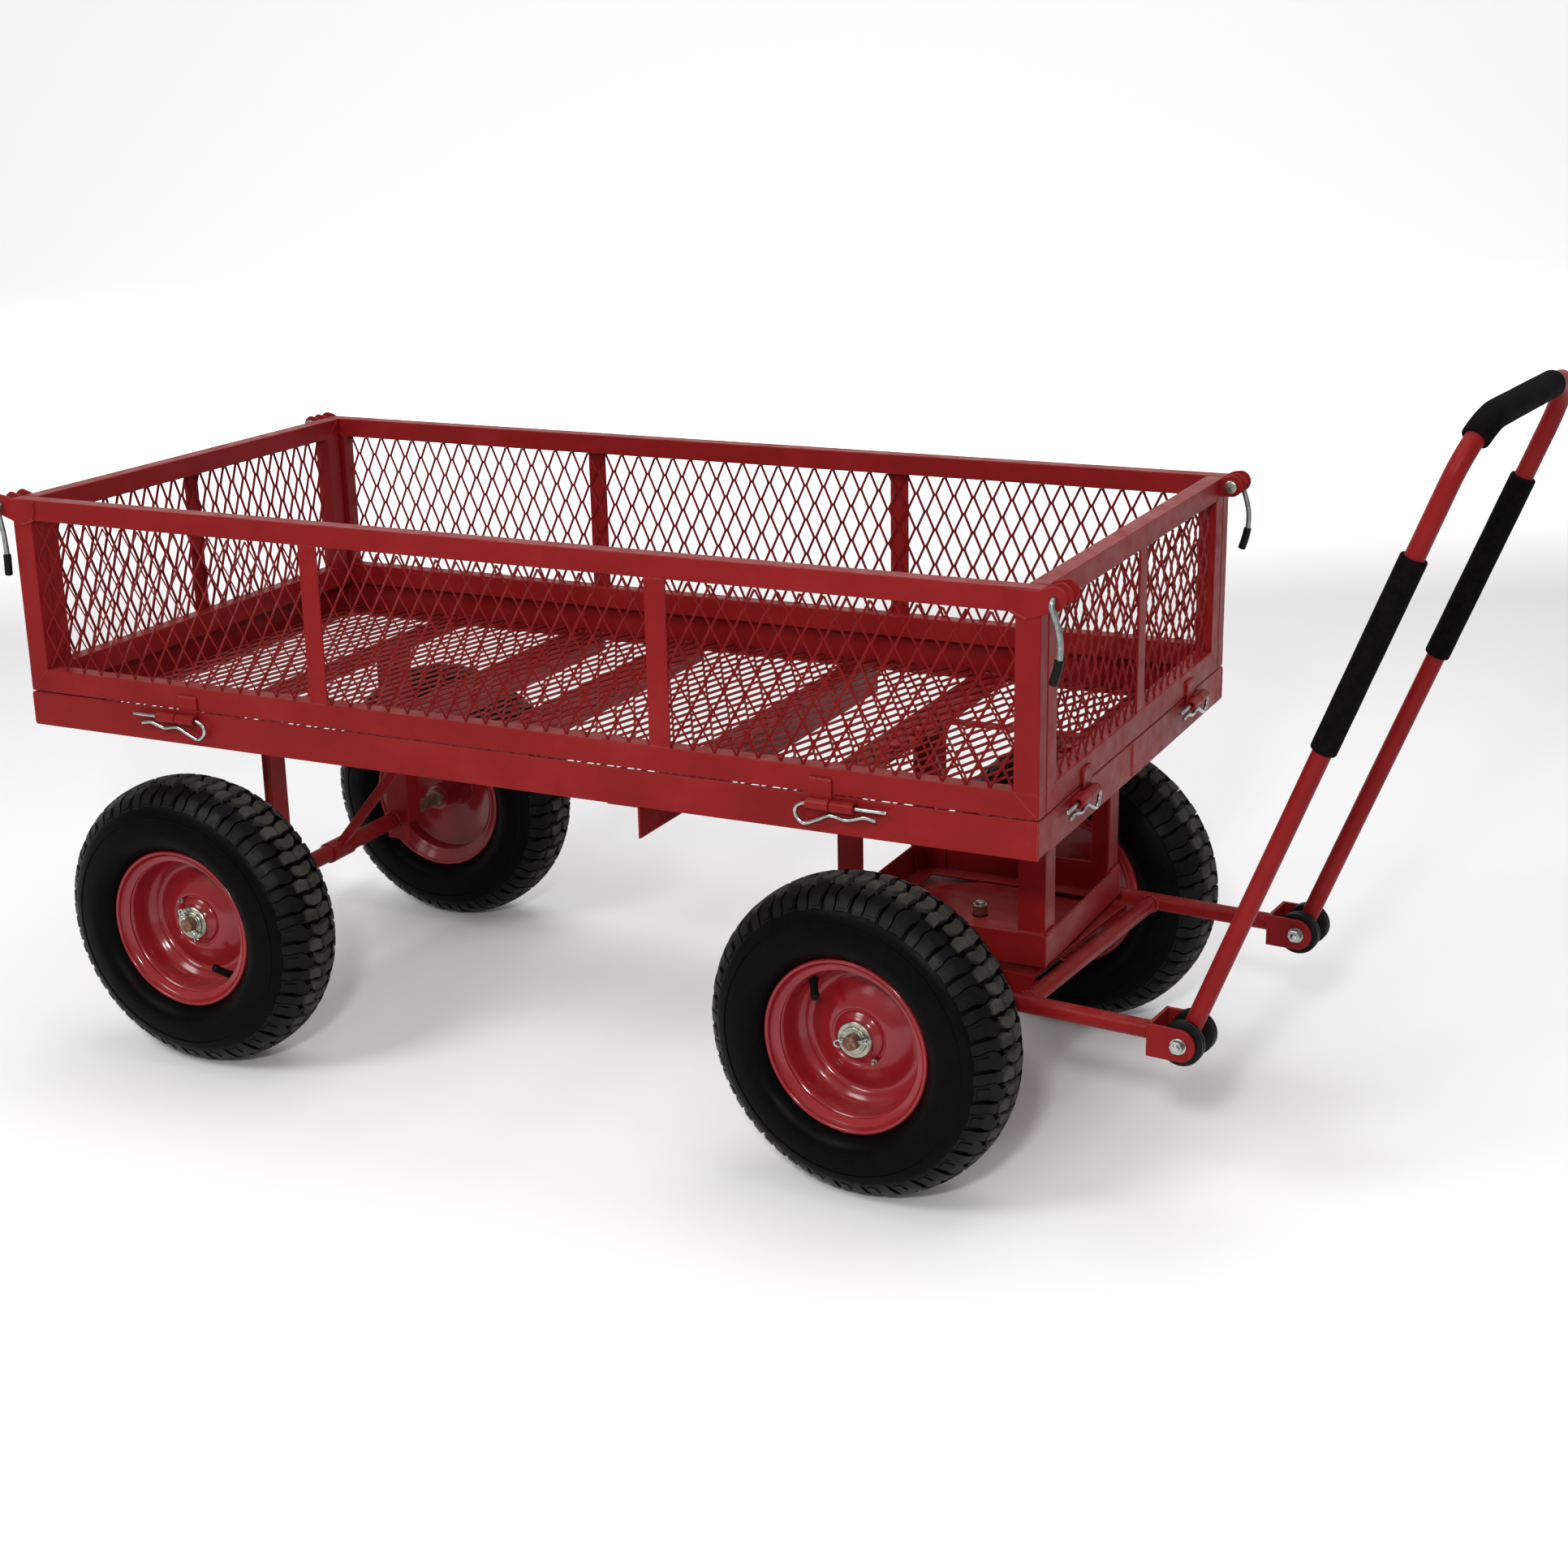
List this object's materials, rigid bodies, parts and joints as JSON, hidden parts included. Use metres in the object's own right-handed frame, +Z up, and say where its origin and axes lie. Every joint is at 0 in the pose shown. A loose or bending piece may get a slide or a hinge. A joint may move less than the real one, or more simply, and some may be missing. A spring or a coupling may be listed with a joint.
{
  "type": "mesh utility wagon",
  "caption": "Flat-bed steel wagon with fold-down expanded-mesh sides and ends, air-filled tyres, a turntable front axle and a hinged pull handle with foam grips.",
  "frame": {"origin": "on the ground, under the middle of the whole wagon's box", "axes": "+X towards the handle, +Z up, +Y to the wagon's left"},
  "size_m": [1.6369, 0.6548, 0.8276],
  "materials": {
    "red_paint": "semi-gloss powder coat",
    "mesh_paint": "semi-gloss powder coat on expanded metal",
    "rim_paint": "gloss enamel",
    "zinc": "zinc plated",
    "bare_steel": "bare turned steel with light rust",
    "tyre": "matte",
    "rubber": "matte",
    "foam": "closed-cell foam"
  },
  "bodies": {
    "deck": {"deck_frame": "red_paint", "deck_floor_mesh": "mesh_paint", "front_tower": "red_paint", "kingpin_bolt": "zinc", "kingpin_nut": "zinc", "rear_axle": "bare_steel", "rear_axle_frame": "red_paint", "right_hinge_clip_a": "zinc", "right_hinge_clip_b": "zinc", "front_hinge_clip_a": "zinc", "front_hinge_clip_b": "zinc", "left_hinge_clip_a": "zinc", "left_hinge_clip_b": "zinc", "rear_hinge_clip_a": "zinc", "rear_hinge_clip_b": "zinc", "rear_right_axle_washer": "zinc", "rear_right_cotter_pin": "zinc", "rear_left_axle_washer": "zinc", "rear_left_cotter_pin": "zinc"},
    "steering": {"steering_bolster": "red_paint", "front_axle": "bare_steel", "drawbar_frame": "red_paint", "right_pivot_bolt": "zinc", "left_pivot_bolt": "zinc", "front_right_axle_washer": "zinc", "front_right_cotter_pin": "zinc", "front_left_axle_washer": "zinc", "front_left_cotter_pin": "zinc"},
    "handle": {"handle_tube": "red_paint", "foam_grip": "foam", "right_leg_sleeve": "foam", "left_leg_sleeve": "foam", "right_outer_friction_disc": "rubber", "right_inner_friction_disc": "rubber", "left_outer_friction_disc": "rubber", "left_inner_friction_disc": "rubber"},
    "front_right_wheel": {"front_right_rim": "rim_paint", "front_right_tyre": "tyre", "front_right_valve_stem": "rubber"},
    "front_left_wheel": {"front_left_rim": "rim_paint", "front_left_tyre": "tyre", "front_left_valve_stem": "rubber"},
    "rear_right_wheel": {"rear_right_rim": "rim_paint", "rear_right_tyre": "tyre", "rear_right_valve_stem": "rubber"},
    "rear_left_wheel": {"rear_left_rim": "rim_paint", "rear_left_tyre": "tyre", "rear_left_valve_stem": "rubber"},
    "right_panel": {"right_panel_frame": "red_paint", "right_panel_mesh": "mesh_paint"},
    "front_panel": {"front_panel_frame": "red_paint", "front_panel_mesh": "mesh_paint"},
    "left_panel": {"left_panel_frame": "red_paint", "left_panel_mesh": "mesh_paint"},
    "rear_panel": {"rear_panel_frame": "red_paint", "rear_panel_mesh": "mesh_paint"},
    "front_right_latch": {"front_right_latch_pin": "zinc"},
    "front_left_latch": {"front_left_latch_pin": "zinc"},
    "rear_right_latch": {"rear_right_latch_pin": "zinc"},
    "rear_left_latch": {"rear_left_latch_pin": "zinc"}
  },
  "joints": [
    {"name": "steering_turn", "type": "hinge", "parent": "deck", "child": "steering", "pos_m": [0.246, 0, 0.205], "axis": [0, 0, 1], "range_deg": [-40, 50]},
    {"name": "handle_fold", "type": "hinge", "parent": "steering", "child": "handle", "pos_m": [0.55532, -0.02706, 0.1945], "axis": [0.0872, 0.9962, 0], "range_deg": [-11, 78]},
    {"name": "front_right_wheel_spin", "type": "hinge", "parent": "steering", "child": "front_right_wheel", "pos_m": [0.22308, -0.262, 0.1705], "axis": [0.0872, 0.9962, 0], "continuous": true},
    {"name": "front_left_wheel_spin", "type": "hinge", "parent": "steering", "child": "front_left_wheel", "pos_m": [0.26892, 0.262, 0.1705], "axis": [0.0872, 0.9962, 0], "continuous": true},
    {"name": "rear_right_wheel_spin", "type": "hinge", "parent": "deck", "child": "rear_right_wheel", "pos_m": [-0.616, -0.263, 0.1705], "axis": [0, 1, 0], "continuous": true},
    {"name": "rear_left_wheel_spin", "type": "hinge", "parent": "deck", "child": "rear_left_wheel", "pos_m": [-0.616, 0.263, 0.1705], "axis": [0, 1, 0], "continuous": true},
    {"name": "right_panel_fold", "type": "hinge", "parent": "deck", "child": "right_panel", "pos_m": [-0.187, -0.3115, 0.427], "axis": [1, 0, 0], "range_deg": [0, 165]},
    {"name": "left_panel_fold", "type": "hinge", "parent": "deck", "child": "left_panel", "pos_m": [-0.187, 0.3115, 0.427], "axis": [-1, 0, 0], "range_deg": [0, 165]},
    {"name": "front_panel_fold", "type": "hinge", "parent": "deck", "child": "front_panel", "pos_m": [0.429, 0, 0.427], "axis": [0, 1, 0], "range_deg": [0, 65]},
    {"name": "rear_panel_fold", "type": "hinge", "parent": "deck", "child": "rear_panel", "pos_m": [-0.803, 0, 0.427], "axis": [0, -1, 0], "range_deg": [0, 165]},
    {"name": "front_right_latch_swing", "type": "hinge", "parent": "right_panel", "child": "front_right_latch", "pos_m": [0.435, -0.313, 0.65], "axis": [0, 1, 0], "range_deg": [-90, 90]},
    {"name": "front_left_latch_swing", "type": "hinge", "parent": "left_panel", "child": "front_left_latch", "pos_m": [0.435, 0.313, 0.65], "axis": [0, 1, 0], "range_deg": [-90, 90]},
    {"name": "rear_right_latch_swing", "type": "hinge", "parent": "right_panel", "child": "rear_right_latch", "pos_m": [-0.809, -0.313, 0.65], "axis": [0, 1, 0], "range_deg": [-90, 90]},
    {"name": "rear_left_latch_swing", "type": "hinge", "parent": "left_panel", "child": "rear_left_latch", "pos_m": [-0.809, 0.313, 0.65], "axis": [0, 1, 0], "range_deg": [-90, 90]}
  ]
}
